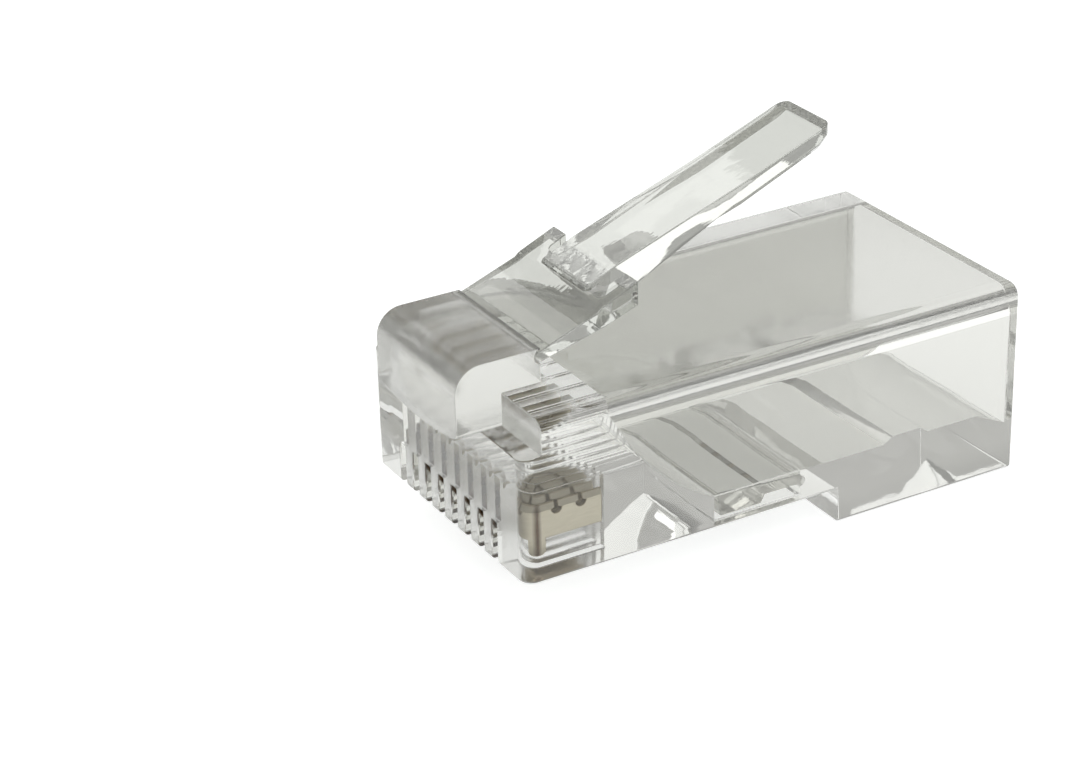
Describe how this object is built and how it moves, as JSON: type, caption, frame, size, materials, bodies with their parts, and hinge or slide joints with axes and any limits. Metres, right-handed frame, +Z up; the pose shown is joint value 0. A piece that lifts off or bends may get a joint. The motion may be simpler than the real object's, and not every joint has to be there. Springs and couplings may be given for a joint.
{
  "type": "rj45 modular plug",
  "caption": "Clear modular plug for twisted-pair cable, uncrimped, with a flexing latch, raised contact blades in a comb and a strain relief bar in its underside.",
  "frame": {"origin": "underside plane of the rear block, under the middle of the plug's width and whole length", "axes": "+X across the width, +Y from the nose to the cable end, +Z up to the latch side"},
  "size_m": [0.0116, 0.023, 0.0144],
  "materials": {
    "clear_moulding": "polished clear polycarbonate",
    "contact_metal": "gold-plated bronze"
  },
  "bodies": {
    "housing": {"housing": "clear_moulding"},
    "latch": {"latch_lever": "clear_moulding"},
    "strain_relief": {"strain_relief_bar": "clear_moulding"},
    "blade_1": {"contact_1": "contact_metal"},
    "blade_2": {"contact_2": "contact_metal"},
    "blade_3": {"contact_3": "contact_metal"},
    "blade_4": {"contact_4": "contact_metal"},
    "blade_5": {"contact_5": "contact_metal"},
    "blade_6": {"contact_6": "contact_metal"},
    "blade_7": {"contact_7": "contact_metal"},
    "blade_8": {"contact_8": "contact_metal"}
  },
  "joints": [
    {"name": "latch_flex", "type": "hinge", "parent": "housing", "child": "latch", "pos_m": [0, -0.00797, 0.00886], "axis": [-1, 0, 0], "range_deg": [0, 21], "stiffness_Nm_per_rad": 0.15},
    {"name": "strain_relief_fold", "type": "hinge", "parent": "housing", "child": "strain_relief", "pos_m": [0, 0.00186, 0.00198], "axis": [-1, 0, 0], "range_deg": [0, 24]},
    {"name": "crimp_1", "type": "slide", "parent": "housing", "child": "blade_1", "axis": [0, 0, 1], "range_m": [0, 0.0009]},
    {"name": "crimp_2", "type": "slide", "parent": "housing", "child": "blade_2", "axis": [0, 0, 1], "range_m": [0, 0.0009]},
    {"name": "crimp_3", "type": "slide", "parent": "housing", "child": "blade_3", "axis": [0, 0, 1], "range_m": [0, 0.0009]},
    {"name": "crimp_4", "type": "slide", "parent": "housing", "child": "blade_4", "axis": [0, 0, 1], "range_m": [0, 0.0009]},
    {"name": "crimp_5", "type": "slide", "parent": "housing", "child": "blade_5", "axis": [0, 0, 1], "range_m": [0, 0.0009]},
    {"name": "crimp_6", "type": "slide", "parent": "housing", "child": "blade_6", "axis": [0, 0, 1], "range_m": [0, 0.0009]},
    {"name": "crimp_7", "type": "slide", "parent": "housing", "child": "blade_7", "axis": [0, 0, 1], "range_m": [0, 0.0009]},
    {"name": "crimp_8", "type": "slide", "parent": "housing", "child": "blade_8", "axis": [0, 0, 1], "range_m": [0, 0.0009]}
  ]
}
